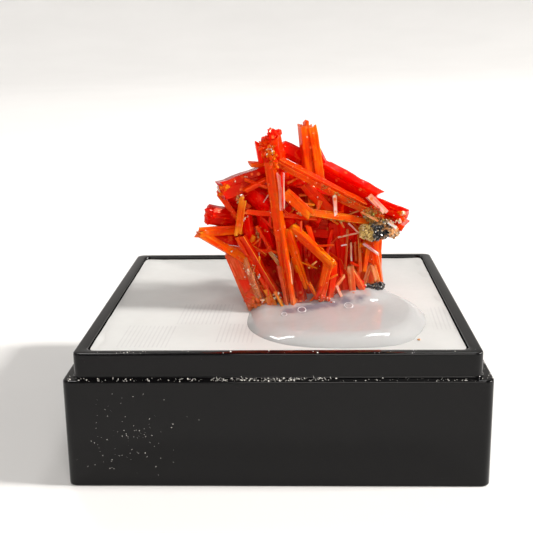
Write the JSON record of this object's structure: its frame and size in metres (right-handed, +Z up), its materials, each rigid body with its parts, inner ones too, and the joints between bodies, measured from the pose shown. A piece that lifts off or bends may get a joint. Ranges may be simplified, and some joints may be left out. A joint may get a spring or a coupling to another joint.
{
  "type": "crocoite on matrix mineral specimen",
  "caption": "Criss-crossed cluster of red-orange crocoite prisms with gossan matrix, glued on a white insert in the square black base of a thumbnail specimen box.",
  "frame": {"origin": "middle of the underside of the box base", "axes": "+Z up, +X to the right of the side that the specimen faces, +Y to the back"},
  "size_m": [0.032, 0.032, 0.0259],
  "materials": {
    "box_plastic": "glossy black moulded plastic, a little dusty",
    "insert_white": "white foam under a thin smooth white skin",
    "clear_glue": "milky see-through set glue, wet-looking",
    "crocoite": "translucent red-orange crystal, adamantine, striped lengthwise",
    "gossan_brown": "rough brown and black iron and manganese oxide crust",
    "gossan_black": "black shiny manganese oxide lump"
  },
  "bodies": {
    "root": {"box_base": "box_plastic", "foam_insert": "insert_white", "glue_pad": "clear_glue", "crocoite_cluster": "crocoite", "gossan_knob": "gossan_brown", "gossan_foot": "gossan_black"}
  },
  "joints": []
}
